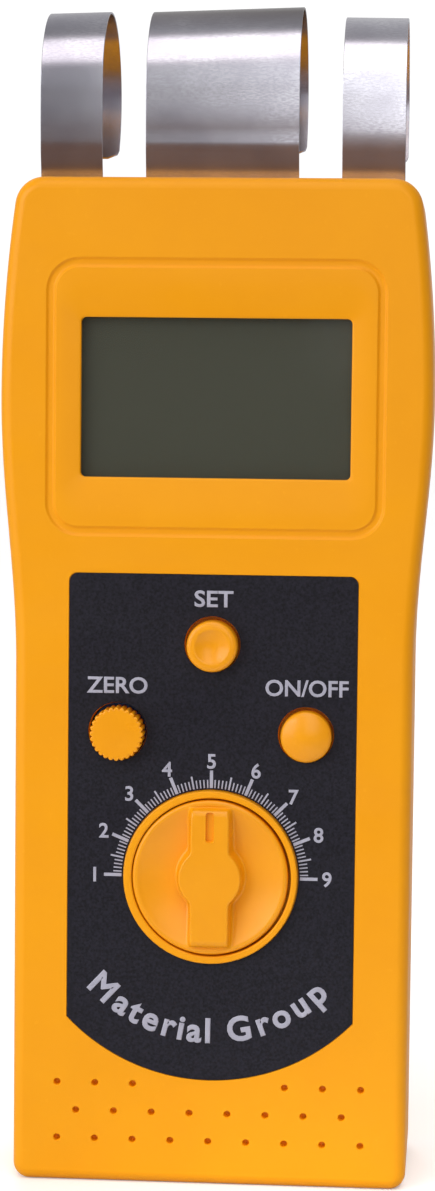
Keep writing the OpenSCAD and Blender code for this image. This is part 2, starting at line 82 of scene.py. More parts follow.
# ---- Mesh tools ----


def new_piece(name, points, faces):
    """A mesh object made from points in millimetres, with its faces turned outwards."""
    mesh = bpy.data.meshes.new(name)
    mesh.from_pydata([Vector(p) * MM for p in points], [], faces)
    shape = bmesh.new()
    shape.from_mesh(mesh)
    bmesh.ops.recalc_face_normals(shape, faces=shape.faces)
    shape.to_mesh(mesh)
    shape.free()
    piece = bpy.data.objects.new(name, mesh)
    bpy.context.scene.collection.objects.link(piece)
    return piece


def skin(name, rings, closed=False):
    """Joins rings of points with faces. A ring of one point makes a tip, and open ends get a cap."""
    points, starts, faces = [], [], []
    for ring in rings:
        starts.append(len(points))
        points.extend(ring)
    count = len(rings)
    for a in range(count if closed else count - 1):
        b = (a + 1) % count
        wide = max(len(rings[a]), len(rings[b]))
        for i in range(wide):
            j = (i + 1) % wide
            near = [starts[a]] if len(rings[a]) == 1 else [starts[a] + i, starts[a] + j]
            far = [starts[b]] if len(rings[b]) == 1 else [starts[b] + j, starts[b] + i]
            faces.append(near + far)
    if not closed:
        for k in (0, count - 1):
            if len(rings[k]) > 1:
                faces.append([starts[k] + i for i in range(len(rings[k]))])
    return new_piece(name, points, faces)


def lathe(name, at, profile, steps=72):
    """Turns a profile of (radius, y) points about the line through at = (x, z), along Y."""
    rings = []
    for r, y in profile:
        if r == 0:
            rings.append([(at[0], y, at[1])])
            continue
        turn = [2 * math.pi * i / steps for i in range(steps)]
        rings.append([(at[0] + r * math.cos(a), y, at[1] + r * math.sin(a)) for a in turn])
    return skin(name, rings)


def block(name, x0, x1, y0, y1, z0, z1):
    """A box, used to cut and to thicken."""
    rings = [[(x0, y, z0), (x1, y, z0), (x1, y, z1), (x0, y, z1)] for y in (y0, y1)]
    return skin(name, rings)


def rounded_rect(w, h, r, y, x=0.0, z=0.0, steps=8):
    """A ring of points round a rectangle with round corners, facing along Y."""
    ring = []
    for k, (sx, sz) in enumerate([(1, 1), (-1, 1), (-1, -1), (1, -1)]):
        for i in range(steps + 1):
            a = math.pi / 2 * (k + i / steps)
            across = sx * (w / 2 - r) + r * math.cos(a)
            up = sz * (h / 2 - r) + r * math.sin(a)
            ring.append((x + across, y, z + up))
    return ring


def settle(piece):
    """Replaces a piece's mesh with what its modifiers make of it."""
    shown = piece.evaluated_get(bpy.context.evaluated_depsgraph_get())
    mesh = bpy.data.meshes.new_from_object(shown)
    old = piece.data
    piece.modifiers.clear()
    piece.data = mesh
    mesh.name = piece.name
    if isinstance(old, bpy.types.Mesh):
        bpy.data.meshes.remove(old)


def merge(name, parts):
    """One mesh object out of several, which are removed."""
    shape = bmesh.new()
    for part in parts:
        shape.from_mesh(part.data)
        mesh = part.data
        bpy.data.objects.remove(part)
        bpy.data.meshes.remove(mesh)
    mesh = bpy.data.meshes.new(name)
    shape.to_mesh(mesh)
    shape.free()
    piece = bpy.data.objects.new(name, mesh)
    bpy.context.scene.collection.objects.link(piece)
    return piece


def carve(piece, parts, operation="DIFFERENCE"):
    """One boolean between a piece and several parts, which are used up and don't overlap each other."""
    tool = merge("tool", parts)
    modifier = piece.modifiers.new("carve", "BOOLEAN")
    modifier.operation = operation
    modifier.solver = "EXACT"
    modifier.object = tool
    settle(piece)
    mesh = tool.data
    bpy.data.objects.remove(tool)
    bpy.data.meshes.remove(mesh)
    return piece


def join(piece, parts):
    """Adds the parts to a piece."""
    return carve(piece, parts, "UNION")


def smooth(piece, angle=32):
    """Smooth shading, with edges sharper than angle kept, and flat faces kept flat."""
    mesh = piece.data
    mesh.polygons.foreach_set("use_smooth", [True] * len(mesh.polygons))
    mesh.set_sharp_from_angle(angle=math.radians(angle))
    modifier = piece.modifiers.new("even shading", "WEIGHTED_NORMAL")
    modifier.keep_sharp = True
    return piece


def soften(piece, width):
    """Rounds the sharp edges of a piece."""
    modifier = piece.modifiers.new("soften", "BEVEL")
    modifier.width = width * MM
    modifier.segments = 2
    modifier.limit_method = "ANGLE"
    modifier.angle_limit = math.radians(40)
    modifier.use_clamp_overlap = True
    settle(piece)
    return piece


def curve_to_mesh(name, curve, place):
    """Turns a curve that is drawn flat into a closed mesh. place gives where each of its points goes."""
    drawn = bpy.data.objects.new(name, curve)
    bpy.context.scene.collection.objects.link(drawn)
    bpy.context.view_layer.update()
    mesh = bpy.data.meshes.new_from_object(drawn.evaluated_get(bpy.context.evaluated_depsgraph_get()))
    bpy.data.objects.remove(drawn)
    bpy.data.curves.remove(curve)
    shape = bmesh.new()
    shape.from_mesh(mesh)
    bmesh.ops.remove_doubles(shape, verts=shape.verts, dist=1e-5)
    for vertex in shape.verts:
        vertex.co = Vector(place(vertex.co.x, vertex.co.y, vertex.co.z)) * MM
    bmesh.ops.recalc_face_normals(shape, faces=shape.faces)
    shape.to_mesh(mesh)
    shape.free()
    piece = bpy.data.objects.new(name, mesh)
    bpy.context.scene.collection.objects.link(piece)
    return piece


def plate(name, loops, y0, y1, bevel=0.04):
    """A flat plate from y0 to y1. The first loop of (x, z) points is its outline; the rest are holes."""
    curve = bpy.data.curves.new(name, "CURVE")
    curve.dimensions = "2D"
    curve.fill_mode = "BOTH"
    curve.extrude = (y1 - y0) / 2 - bevel
    curve.bevel_depth = bevel
    curve.bevel_resolution = 1
    curve.offset = -bevel
    for loop in loops:
        spline = curve.splines.new("POLY")
        spline.points.add(len(loop) - 1)
        spline.use_cyclic_u = True
        for point, (x, z) in zip(spline.points, loop):
            point.co = (x, z, 0, 1)
    return curve_to_mesh(name, curve, lambda x, y, z: (x, (y0 + y1) / 2 - z, y))


def circle(x, z, r, steps=72):
    """A loop of (x, z) points round a circle."""
    turn = [2 * math.pi * i / steps for i in range(steps)]
    return [(x + r * math.cos(a), z + r * math.sin(a)) for a in turn]


# ---- Materials ----


def new_material(name):
    """A material with its node tree, its shader and the object coordinates that its textures use."""
    material = bpy.data.materials.new(name)
    material.use_nodes = True
    tree = material.node_tree
    shader = tree.nodes["Principled BSDF"]
    place = tree.nodes.new("ShaderNodeTexCoord").outputs["Object"]
    return material, tree, shader, place


def linear(r, g, b):
    """A colour given as 0 to 255 screen values, as the shader needs it."""
    shares = [c / 255 for c in (r, g, b)]
    return tuple(c / 12.92 if c <= 10 / 255 else ((c + 0.055) / 1.055) ** 2.4 for c in shares) + (1.0,)


def noise(tree, place, size, detail=3.0, stretch=(1, 1, 1)):
    """Noise whose features are about size millimetres, stretched along an axis by its factor."""
    scale = tree.nodes.new("ShaderNodeMapping")
    scale.inputs["Scale"].default_value = [1 / (size * MM * s) for s in stretch]
    tree.links.new(place, scale.inputs["Vector"])
    texture = tree.nodes.new("ShaderNodeTexNoise")
    texture.inputs["Scale"].default_value = 1.0
    texture.inputs["Detail"].default_value = detail
    tree.links.new(scale.outputs["Vector"], texture.inputs["Vector"])
    return texture.outputs["Fac"]


def spread(tree, value, low, high, from_low=0.3, from_high=0.7):
    """Maps a texture's middle range on to low..high."""
    node = tree.nodes.new("ShaderNodeMapRange")
    node.inputs["From Min"].default_value = from_low
    node.inputs["From Max"].default_value = from_high
    node.inputs["To Min"].default_value = low
    node.inputs["To Max"].default_value = high
    tree.links.new(value, node.inputs["Value"])
    return node.outputs["Result"]


def blend_colours(tree, share, first, second):
    """A colour between two, where either may be a colour or another node's output."""
    node = tree.nodes.new("ShaderNodeMix")
    node.data_type = "RGBA"
    tree.links.new(share, node.inputs["Factor"])
    for socket, colour in zip((node.inputs[6], node.inputs[7]), (first, second)):
        if isinstance(colour, bpy.types.NodeSocket):
            tree.links.new(colour, socket)
        else:
            socket.default_value = colour
    return node.outputs[2]


def bump(tree, shader, height, strength, depth):
    """Lets a texture raise the surface by up to depth millimetres."""
    node = tree.nodes.new("ShaderNodeBump")
    node.inputs["Strength"].default_value = strength
    node.inputs["Distance"].default_value = depth * MM
    tree.links.new(height, node.inputs["Height"])
    tree.links.new(node.outputs["Normal"], shader.inputs["Normal"])


def plastic(name, light, dark, roughness=(0.34, 0.44), grain=0.25, grain_depth=0.012, patch=14.0,
            **fixed):
    """Moulded plastic: two close tones in soft patches, fine grain, small pale worn specks and long scuffs.
    fixed sets sockets of the shader by name."""
    material, tree, shader, place = new_material(name)
    patches = spread(tree, noise(tree, place, patch), 0, 1)
    colour = blend_colours(tree, patches, dark, light)
    specks = spread(tree, noise(tree, place, 1.1, 4), 0, 0.35, 0.66, 0.80)
    worn = tuple(min(1.0, c * 1.12 + 0.01) for c in light[:3]) + (1.0,)
    tree.links.new(blend_colours(tree, specks, colour, worn), shader.inputs["Base Color"])
    scuffs = noise(tree, place, 5.0, 5, (3, 1, 1))
    tree.links.new(spread(tree, scuffs, *roughness), shader.inputs["Roughness"])
    bump(tree, shader, noise(tree, place, grain, 2), 0.35, grain_depth)
    for socket, value in fixed.items():
        shader.inputs[socket.replace("_", " ")].default_value = value
    return material


def metal(name, light, dark, roughness=(0.25, 0.38), along=(18, 1, 1), fine=0.12, depth=0.004,
          painted_shade_z=None):
    """Brushed or turned metal: lines fine millimetres wide, stretched by along, over a cloudy tone.
    Above the height given last it turns brown and dark: painted shade."""
    material, tree, shader, place = new_material(name)
    shader.inputs["Metallic"].default_value = 1.0
    lines = noise(tree, place, fine, 1.2, along)
    clouds = noise(tree, place, 7.0, 2)
    tone = blend_colours(tree, spread(tree, clouds, 0, 1), dark, light)
    streaked = blend_colours(tree, spread(tree, lines, 0, 0.6, 0.42, 0.6), tone, dark)
    if painted_shade_z:
        axis = tree.nodes.new("ShaderNodeSeparateXYZ")
        tree.links.new(place, axis.inputs["Vector"])
        # Painted shade: above that height the steel is blended towards a dark brown.
        top_shade = spread(tree, axis.outputs["Z"], 0, 0.8, painted_shade_z * MM, (painted_shade_z + 3) * MM)
        streaked = blend_colours(tree, top_shade, streaked, linear(92, 80, 76))
    tree.links.new(streaked, shader.inputs["Base Color"])
    tree.links.new(spread(tree, lines, *roughness, 0.2, 0.8), shader.inputs["Roughness"])
    bump(tree, shader, lines, 0.25, depth)
    return material


def sleeve(name, low_colour, high_colour, split_z):
    """A printed metal jacket in two plain tones that meet at a height, rubbed bare in places."""
    material, tree, shader, place = new_material(name)
    shader.inputs["Metallic"].default_value = 0.6
    axis = tree.nodes.new("ShaderNodeSeparateXYZ")
    tree.links.new(place, axis.inputs["Vector"])
    share = spread(tree, axis.outputs["Z"], 0, 1, (split_z - 0.1) * MM, (split_z + 0.1) * MM)
    jacket = blend_colours(tree, share, low_colour, high_colour)
    rubbed = spread(tree, noise(tree, place, 1.5, 5), 0, 0.4, 0.62, 0.75)
    worn = blend_colours(tree, rubbed, jacket, linear(170, 170, 168))
    tree.links.new(worn, shader.inputs["Base Color"])
    tree.links.new(spread(tree, noise(tree, place, 6.0), 0.28, 0.4), shader.inputs["Roughness"])
    bump(tree, shader, noise(tree, place, 0.4, 2), 0.2, 0.01)
    return material


def clear(name, colour, alpha, roughness=(0.05, 0.1)):
    """Clear plastic or glass with faint haze and fine dust."""
    material, tree, shader, place = new_material(name)
    shader.inputs["Alpha"].default_value = alpha
    dust = spread(tree, noise(tree, place, 0.35, 1), 0, 0.5, 0.80, 0.86)
    tree.links.new(blend_colours(tree, dust, colour, linear(190, 188, 175)), shader.inputs["Base Color"])
    tree.links.new(spread(tree, noise(tree, place, 7.0), *roughness), shader.inputs["Roughness"])
    bump(tree, shader, noise(tree, place, 9.0, 1), 0.1, 0.02)
    shader.inputs["Specular IOR Level"].default_value = 0.2
    return material


def board_material(name):
    """Circuit board: green mask with lighter tracks and small pads."""
    material, tree, shader, place = new_material(name)
    tracks = tree.nodes.new("ShaderNodeTexBrick")
    tracks.inputs["Scale"].default_value = 1 / (5 * MM)
    tracks.inputs["Mortar Size"].default_value = 0.03
    tracks.inputs["Color1"].default_value = linear(22, 84, 45)
    tracks.inputs["Color2"].default_value = linear(26, 92, 50)
    tracks.inputs["Mortar"].default_value = linear(48, 128, 70)
    swap = tree.nodes.new("ShaderNodeMapping")
    swap.inputs["Rotation"].default_value = (math.pi / 2, 0, 0)
    tree.links.new(place, swap.inputs["Vector"])
    tree.links.new(swap.outputs["Vector"], tracks.inputs["Vector"])
    stains = spread(tree, noise(tree, place, 8.0), 0, 0.4)
    colour = blend_colours(tree, stains, tracks.outputs["Color"], linear(16, 66, 36))
    tree.links.new(colour, shader.inputs["Base Color"])
    tree.links.new(spread(tree, noise(tree, place, 3.0), 0.25, 0.4), shader.inputs["Roughness"])
    bump(tree, shader, tracks.outputs["Fac"], 0.3, 0.03)
    return material


YELLOW = plastic("yellow_case", linear(248, 165, 8), linear(245, 161, 7), Specular_IOR_Level=0.25)
YELLOW_CONTROL = plastic("yellow_control", linear(247, 163, 8), linear(244, 159, 7), (0.27, 0.35), 0.4,
                         patch=5.0, Specular_IOR_Level=0.4)
OVERLAY = plastic("overlay_sheet", linear(32, 31, 43), linear(10, 10, 18), (0.42, 0.5), 0.2, 0.02, 0.35,
                  Specular_IOR_Level=0.25)
INK = plastic("printed_ink", linear(176, 176, 192), linear(164, 164, 180), (0.45, 0.55), 0.15, 0.01, 2.0)
WINDOW = clear("window_pane", linear(96, 98, 88), 0.22)
LCD = clear("display_glass", linear(67, 70, 56), 1.0, (0.3, 0.38))
FILM = metal("reflector_film", linear(190, 190, 178), linear(170, 170, 160), (0.5, 0.6))
WHITE = plastic("white_plastic", linear(226, 222, 212), linear(216, 212, 201))
BLACK = plastic("black_plastic", linear(38, 38, 40), linear(30, 30, 32), (0.4, 0.55))
RUBBER = plastic("contact_rubber", linear(70, 70, 70), linear(40, 40, 40), (0.6, 0.75), patch=1.0)
BOARD = board_material("board_green")
CHIP = plastic("chip_resin", linear(36, 36, 38), linear(28, 28, 30), (0.45, 0.6), patch=2.0)
CAN = metal("drawn_can", linear(205, 206, 208), linear(176, 178, 182), (0.2, 0.35), (1, 1, 12))
CAPACITOR = plastic("capacitor_sleeve", linear(38, 52, 84), linear(30, 43, 72), (0.2, 0.3), patch=3.0)
POT = plastic("trimmer_body", linear(70, 106, 160), linear(60, 94, 146), (0.3, 0.42), patch=3.0)
STEEL = metal("turned_steel", linear(200, 201, 205), linear(168, 170, 176), (0.22, 0.35), (1, 14, 1))
BRASS = metal("stamped_brass", linear(214, 178, 104), linear(184, 146, 76), (0.28, 0.42))
JACKET = sleeve("battery_jacket", linear(40, 42, 48), linear(182, 122, 62), 36.0)
FOIL = metal("blank_foil", linear(205, 207, 210), linear(190, 192, 196), (0.32, 0.42), (30, 1, 1))
RED = plastic("lead_red", linear(176, 30, 26), linear(150, 22, 20), (0.35, 0.5), patch=3.0)
LEAD_BLACK = plastic("lead_black", linear(34, 34, 36), linear(26, 26, 28), (0.35, 0.5), patch=3.0)
FOAM = plastic("foam_pad", linear(66, 66, 68), linear(48, 48, 50), (0.8, 0.95), 0.5, 0.12, 1.5)


def install(piece, body, slot, material, *stands_for):
    """Gives a piece its material, hides the frame nodes that it stands for, and puts it on its body. Its slot
    is not used.
    """
    piece.data.materials.clear()
    piece.data.materials.append(material)
    if stands_for:
        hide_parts(*stands_for)
    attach(piece, body)


# ---- Case shape ----

TOP_LEAN = math.atan(2 * CROWN * (CASE_H - TOP_CORNER_R - FLARE_TO_Z))
SHOULDER_Z = CASE_H - TOP_CORNER_R * (1 - math.sin(TOP_LEAN))
SIDE_STEPS, CORNER_STEPS, EDGE_STEPS = 44, 10, 10


def half_w(z):
    """Half width of the case at a height."""
    if z <= FLARE_FROM_Z:
        return GRIP_HALF_W
    if z < FLARE_TO_Z:
        share = (z - FLARE_FROM_Z) / (FLARE_TO_Z - FLARE_FROM_Z)
        return GRIP_HALF_W + FLARE * (1 - math.cos(math.pi * share)) / 2
    return GRIP_HALF_W + FLARE - CROWN * (z - FLARE_TO_Z) ** 2


def case_ring(inset, base_r, y):
    """The outline of the case at depth y, moved inwards, with base corners of radius base_r."""
    right = []
    base_x, base_z = GRIP_HALF_W - inset - base_r, inset + base_r
    for i in range(CORNER_STEPS + 1):
        a = math.radians(-90 + 90 * i / CORNER_STEPS)
        right.append((base_x + base_r * math.cos(a), base_z + base_r * math.sin(a)))
    for i in range(SIDE_STEPS + 1):
        z = FLARE_FROM_Z + (SHOULDER_Z - FLARE_FROM_Z) * i / SIDE_STEPS
        right.append((half_w(z) - inset, z - inset * math.sin(TOP_LEAN) * i / SIDE_STEPS))
    top_x, top_z = half_w(SHOULDER_Z) - TOP_CORNER_R * math.cos(TOP_LEAN), CASE_H - TOP_CORNER_R
    reach = TOP_CORNER_R - inset
    for i in range(1, CORNER_STEPS + 1):
        a = TOP_LEAN + (math.pi / 2 - TOP_LEAN) * i / CORNER_STEPS
        right.append((top_x + reach * math.cos(a), top_z + reach * math.sin(a)))
    return [(x, y, z) for x, z in right] + [(-x, y, z) for x, z in reversed(right)]


def case_half(name, side):
    """Solid half of the case with a rounded edge; side is -1 for the front, 1 for the back."""
    seam = 0.2
    face_y = FRONT_Y if side < 0 else BACK_Y
    rings = []
    for k in range(EDGE_STEPS + 1):
        a = math.pi / 2 * k / EDGE_STEPS
        inset = EDGE_R * (1 - math.sin(a))
        rings.append(case_ring(inset, BASE_CORNER_R - inset, face_y - side * EDGE_R * (1 - math.cos(a))))
    rings.append(case_ring(0, BASE_CORNER_R, PARTING_Y + side * seam))
    rings.append(case_ring(seam, BASE_CORNER_R - seam, PARTING_Y))
    return skin(name, rings)


def cavity(y0, y1):
    """The hollow inside the case, between two depths."""
    return skin("cavity", [case_ring(WALL, 2.0, y) for y in (y0, y1)])


def overlay_loop(grow):
    """Outline of the dark control sheet: straight sides, round lower end."""
    half, top, corner, corner_steps = 20 + grow, 85.9 + grow, 1.2, 6
    arc_z, arc_r, arc_steps = 42.7, 27.65 + grow, 48
    loop = []
    for i in range(corner_steps + 1):
        a = math.pi / 2 * i / corner_steps
        loop.append((half - corner + corner * math.cos(a), top - corner + corner * math.sin(a)))
    loop += [(-x, z) for x, z in reversed(loop)]
    end = math.acos(half / arc_r)
    for i in range(arc_steps + 1):
        a = math.pi + end + (math.pi - 2 * end) * i / arc_steps
        loop.append((arc_r * math.cos(a), arc_z + arc_r * math.sin(a)))
    return loop


def dimple_places():
    """Centres of the small blind holes in the lower front."""
    pitch, row_z, row_gap = 5.33, 6.27, 3.97
    rows = [range(-4, 5), [i - 3.5 for i in range(8)], [-4, -3, -2, 2, 3, 4]]
    return [(i * pitch, row_z + row_gap * k) for k, row in enumerate(rows) for i in row]


def window_tool():
    """The dished surround of the display, the opening itself and the ledge behind it."""
    reach_x, reach_z, depth = 3.2, 5.2, 0.42
    rings = []
    for share, sink in [(-0.15, -0.6), (-0.15, -0.035), (0, 0.0), (0.2, 0.06), (0.4, 0.14), (0.6, 0.24),
                        (0.8, 0.35), (0.93, depth)]:
        w = WINDOW_W + 2 * reach_x * (1 - share)
        h = WINDOW_H + 2 * reach_z * (1 - share)
        rings.append(rounded_rect(w, h, 0.9 + 2.6 * (1 - share), FRONT_Y + sink, z=WINDOW_Z))
    for grow, r, sink in [(0.2, 0.8, depth + 0.06), (0.05, 0.75, depth + 0.13), (0.0, 0.7, depth + 0.25),
                          (0.0, 0.7, 1.2), (3.2, 0.7, 1.2), (3.2, 0.7, 3.0)]:
        rings.append(rounded_rect(WINDOW_W + grow, WINDOW_H + grow, r, FRONT_Y + sink, z=WINDOW_Z))
    return skin("window_tool", rings)


def groove_tool():
    """The moulded line round the display, with rounded shoulders and floor."""
    half = [(0.2, 0.32), (0.36, 0.29), (0.48, 0.22), (0.58, 0.10), (0.70, 0.03), (0.85, -0.05), (0.85, -0.30)]
    profile = [(-o, d) for o, d in reversed(half)] + half
    rings = [rounded_rect(FRAME_W + 2 * o, FRAME_H + 2 * o, FRAME_R + o, FRONT_Y + d, z=WINDOW_Z)
             for o, d in profile]
    return skin("groove_tool", rings, closed=True)


def rod(at, r, y0, y1, steps=32):
    """A plain round bar along Y, used for bosses and holes."""
    return lathe("rod", at, [(r, y0), (r, y1)], steps)


def hole_centre(at):
    """Centre of a button's hole, which sits a little up and left of its cap."""
    return at[0] - 0.06, at[1] + 0.17


CONTROL_HOLES = ((SET_AT, BUTTON_HOLE_R), (POWER_AT, BUTTON_HOLE_R), (ZERO_AT, ZERO_HOLE_R))
HOLE_EASE = 0.13  # how much wider a control's hole is at the front face


def dial_collar():
    """The ring that stands up round the dial."""
    return lathe("collar", (0, DIAL_Z), [
        (11.9, -10.6), (11.9, -13.0), (COLLAR_R, -13.0), (COLLAR_R, -14.12), (12.06, -14.3),
        (11.88, COLLAR_Y)])


def front_bosses():
    """Posts for the case screws and the board screws."""
    foot_y = INNER_FRONT_Y - 0.5
    posts = [rod(at, CASE_BOSS_R, foot_y, PARTING_Y) for at in CASE_SCREWS]
    return posts + [rod(at, BOARD_BOSS_R, foot_y, BOARD_Y) for at in BOARD_SCREWS]


def dial_well():
    """The round well that the dial turns in, with a soft lip and the hole for its shaft."""
    shaft_hole_r = 3.3
    return lathe("well", (WELL_X, DIAL_Z), [
        (11.5, -15), (11.5, -14.5), (11.28, -14.38), (11.14, -14.26), (COLLAR_HOLE_R, -14.1),
        (COLLAR_HOLE_R, WELL_Y), (shaft_hole_r, WELL_Y), (shaft_hole_r, -9.5)], 96)


def button_hole(at, r):
    """A control's hole, a little wider at the front face."""
    return lathe("hole", hole_centre(at), [
        (r + HOLE_EASE, FRONT_Y - 1), (r + HOLE_EASE, FRONT_Y + 0.4), (r + 0.05, FRONT_Y + 0.7),
        (r, FRONT_Y + 1.0), (r, INNER_FRONT_Y + 1)], 64)


def dimple_tool(at):
    """A small blind hole with a rounded mouth."""
    return lathe("dimple", at, [
        (0.62, -14), (0.60, -13.54), (0.50, -13.45), (0.45, -13.3), (0.43, -12.4), (0.3, -12.25)], 20)


def front_shell():
    shell = case_half("front_shell", -1)
    carve(shell, [cavity(INNER_FRONT_Y, PARTING_Y + 1)])
    carve(shell, [plate("recess", [overlay_loop(0.08)], FRONT_Y - 1, FRONT_Y + 0.35, 0.001)])
    join(shell, [dial_collar()] + front_bosses())
    carve(shell, [groove_tool()])
    holes = [window_tool(), dial_well()]
    holes += [button_hole(at, r) for at, r in CONTROL_HOLES]
    holes += [dimple_tool(at) for at in dimple_places()]
    for left, right, _, _ in HOOPS.values():
        holes.append(block("slot", left - SLOT_GAP, right + SLOT_GAP, *SLOT_Y, CASE_H - 2 * WALL, CASE_H + 1))
    holes += [rod(at, CASE_PILOT_R, CASE_PILOT_Y, PARTING_Y + 1, 24) for at in CASE_SCREWS]
    holes += [rod(at, BOARD_PILOT_R, BOARD_Y - 3, BOARD_Y + 1, 24) for at in BOARD_SCREWS]
    carve(shell, holes)
    install(smooth(shell), "case", "case_yellow", YELLOW, "front_case")


def door_prism(name, gap, y1, z0, z1):
    """Space of the sliding door, with a tongue along each side, as an upright prism."""
    half, tongue, y0 = BAY_HALF_W - 0.15 + gap, 0.9, INNER_BACK_Y + 0.2 - gap
    tongue_y = INNER_BACK_Y + 0.9 + gap
    section = [(-half - tongue, y0), (half + tongue, y0), (half + tongue, tongue_y), (half, tongue_y),
               (half, y1), (-half, y1), (-half, tongue_y), (-half - tongue, tongue_y)]
    return skin(name, [[(x, y, z) for x, y in section] for z in (z0, z1)])


def label_recess():
    """The shallow pocket for the rear label, with an eased edge."""
    rings = [rounded_rect(LABEL_W + grow, LABEL_H + grow, 1.5 + grow / 2, BACK_Y + rise, z=LABEL_Z)
             for grow, rise in ((0.3, 0.5), (0.3, 0.02), (0.0, -0.1), (0.0, -0.3))]
    return skin("label_recess", rings)


def counterbore(at):
    """A case screw's hole, with room for its head and an eased mouth."""
    mouth_r = HEAD_HOLE_R + 0.25
    return lathe("counterbore", at, [
        (SCREW_HOLE_R, PARTING_Y - 1), (SCREW_HOLE_R, HEAD_Y), (HEAD_HOLE_R, HEAD_Y), (HEAD_HOLE_R, 13.2),
        (mouth_r, 13.52), (mouth_r, 14.5)], 40)


def rear_shell():
    shell = case_half("rear_shell", 1)
    carve(shell, [cavity(PARTING_Y - 1, INNER_BACK_Y)])
    depth = (PARTING_Y, INNER_BACK_Y + 0.5)
    bay_walls, bay_ribs = [], []
    for side in (-1, 1):
        wall_x, rib_x = side * (BAY_HALF_W + 1.15), side * (BAY_HALF_W - 3)
        bay_walls.append(block("bay_wall", wall_x - 1, wall_x + 1, *depth, WALL - 0.5, DOOR_Z + 1.5))
        bay_ribs.append(block("bay_rib", rib_x - 3.3, rib_x + 3.3, *depth, DOOR_Z + 0.2, DOOR_Z + 1.5))
    join(shell, [rod(at, REAR_BOSS_R, *depth) for at in CASE_SCREWS] + bay_walls)
    join(shell, bay_ribs)
    carve(shell, [door_prism("door_way", 0.15, BACK_Y + 1, -1, DOOR_Z + 0.15)])
    carve(shell, [block("bay", -BAY_HALF_W, BAY_HALF_W, INNER_BACK_Y - 3, BACK_Y + 1, WALL, DOOR_Z - 2)])
    carve(shell, [label_recess()] + [counterbore(at) for at in CASE_SCREWS])
    install(smooth(shell), "case", "case_yellow", YELLOW, "rear_case")


def battery_door():
    """The back of the case where the door is, cut out of it, with five grooves for the thumb."""
    door = case_half("door_panel", 1)
    carve(door, [door_prism("door_body", 0, BACK_Y + 1, -1, DOOR_Z)], "INTERSECT")
    groove_half_w, groove_depth = 7, 0.4
    groove_feet = [44 + 2 * i for i in range(5)]
    carve(door, [block("grip", -groove_half_w, groove_half_w, BACK_Y - groove_depth, BACK_Y + 1, z, z + 1)
                 for z in groove_feet])
    soften(door, 0.12)
    install(smooth(door), "battery_cover", "case_yellow", YELLOW, "battery_door")


# ---- Control sheet and its print ----


def control_sheet():
    holes = [circle(0, DIAL_Z, COLLAR_R + 0.1, 128)]
    holes += [circle(*hole_centre(at), r + HOLE_EASE) for at, r in CONTROL_HOLES]
    sheet = plate("control_sheet", [overlay_loop(0)] + holes, *OVERLAY_Y)
    install(smooth(sheet), "case", "overlay_dark", OVERLAY, "control_overlay")


def letters(name, text, centre, height, width=None, turn=0.0, bold=0.02):
    """Text as a thin layer of ink, with its capitals as high as height; turn is clockwise, in radians.
    bold is how far each stroke grows, as a share of the text size."""
    curve = bpy.data.curves.new(name, "FONT")
    curve.body = text
    curve.size = 1.0
    curve.bevel_depth = bold
    curve.bevel_resolution = 0
    curve.extrude = 0.5
    curve.resolution_u = 4
    trial = curve_to_mesh("trial", curve.copy(), lambda x, y, z: (x, z, y))
    corners = [v.co / MM for v in trial.data.vertices]
    mesh = trial.data
    bpy.data.objects.remove(trial)
    bpy.data.meshes.remove(mesh)
    x0, x1 = min(c.x for c in corners), max(c.x for c in corners)
    z0, z1 = CAP_Z
    grow = height / (z1 - z0)
    grow_x = width / (x1 - x0) if width else grow

    def place(x, y, z):
        across, up = (x - (x0 + x1) / 2) * grow_x, (y - (z0 + z1) / 2) * grow
        return (centre[0] + across * math.cos(turn) + up * math.sin(turn),
                INK_Y[0] if z > 0 else INK_Y[1],
                centre[1] - across * math.sin(turn) + up * math.cos(turn))

    return curve_to_mesh(name, curve, place)


def text_edges(text):
    """Left and right edge of a text of size 1."""
    curve = bpy.data.curves.new("measure", "FONT")
    curve.body = text
    curve.size = 1.0
    trial = curve_to_mesh("measure", curve, lambda x, y, z: (x, z, y))
    xs = [v.co.x / MM for v in trial.data.vertices]
    mesh = trial.data
    bpy.data.objects.remove(trial)
    bpy.data.meshes.remove(mesh)
    return min(xs), max(xs)


def arc_text(text, radius, height, span):
    """Letters that stand round the lower side of the dial, spread over span degrees."""
    places = []
    for i, letter in enumerate(text):
        if letter == " ":
            continue
        left, right = text_edges(letter)
        places.append((letter, text_edges(text[:i + 1])[1] - (right - left) / 2))
    start, end = places[0][1], places[-1][1]
    parts = []
    for letter, along in places:
        a = math.radians(-90 + span * ((along - start) / (end - start) - 0.5))
        centre = (radius * math.cos(a), DIAL_Z + radius * math.sin(a))
        parts.append(letters("letter", letter, centre, height, turn=-(a + math.pi / 2), bold=0.03))
    return parts


NUMERALS = 9


def scale_marks():
    """Radial marks of the 1 to 9 scale, ten small steps to a number."""
    parts = []
    inner, minor_steps = 12.45, 10
    total = (NUMERALS - 1) * minor_steps
    for i in range(total + 1):
        a = math.pi * (1 - i / total)
        if i % minor_steps == 0:
            outer, width = 14.9, 0.45
        elif i % minor_steps == minor_steps // 2:
            outer, width = 14.25, 0.24
        else:
            outer, width = 13.6, 0.18
        along = (math.cos(a), math.sin(a))
        across = (-math.sin(a) * width / 2, math.cos(a) * width / 2)
        corners = [(inner, -1), (outer, -1), (outer, 1), (inner, 1)]
        outline = [(r * along[0] + s * across[0], DIAL_Z + r * along[1] + s * across[1]) for r, s in corners]
        rings = [[(x, y, z) for x, z in outline] for y in INK_Y]
        parts.append(skin("mark", rings))
    return parts


def numerals():
    """The digits round the scale."""
    ring_r, height = 16.2, 2.0
    parts = []
    for i in range(NUMERALS):
        a = math.pi * (1 - i / (NUMERALS - 1))
        centre = (ring_r * math.cos(a), DIAL_Z + ring_r * math.sin(a))
        parts.append(letters("numeral", str(i + 1), centre, height))
    return parts


